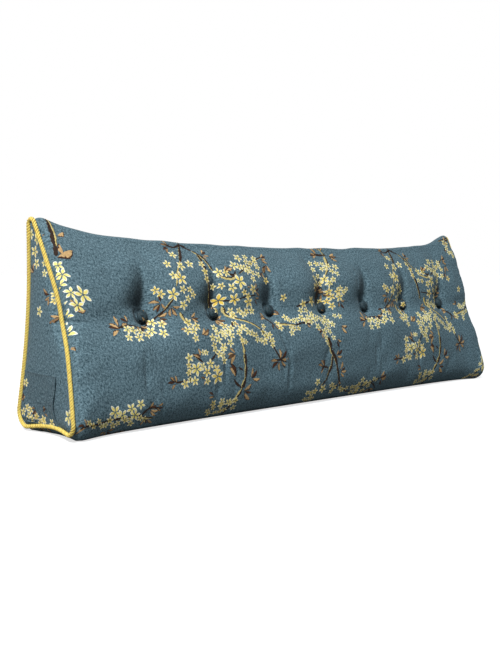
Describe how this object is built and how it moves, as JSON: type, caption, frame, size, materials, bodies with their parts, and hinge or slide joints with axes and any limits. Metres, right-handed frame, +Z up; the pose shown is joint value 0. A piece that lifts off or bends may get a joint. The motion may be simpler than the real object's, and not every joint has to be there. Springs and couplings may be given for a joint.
{
  "type": "wedge reading pillow",
  "caption": "Long stuffed wedge pillow standing on its base, with a leaning buttoned front, corded end panels and a patch pocket on one end.",
  "frame": {"origin": "middle of the bounding box at the height of the base", "axes": "+X along the length, away from the end with the pocket; -Y out of the buttoned front; +Z up towards the ridge"},
  "size_m": [1.515, 0.2353, 0.4658],
  "materials": {
    "cushion_cloth": "heathered slate blue jacquard",
    "button_cloth": "the same jacquard, stretched over a button",
    "pocket_cloth": "the same jacquard",
    "cord_gold": "twisted satin cord"
  },
  "bodies": {
    "root": {"cushion": "cushion_cloth", "cord_left": "cord_gold", "cord_right": "cord_gold", "button_1": "button_cloth", "button_2": "button_cloth", "button_3": "button_cloth", "button_4": "button_cloth", "button_5": "button_cloth", "button_6": "button_cloth", "button_7": "button_cloth", "side_pocket": "pocket_cloth"}
  },
  "joints": []
}
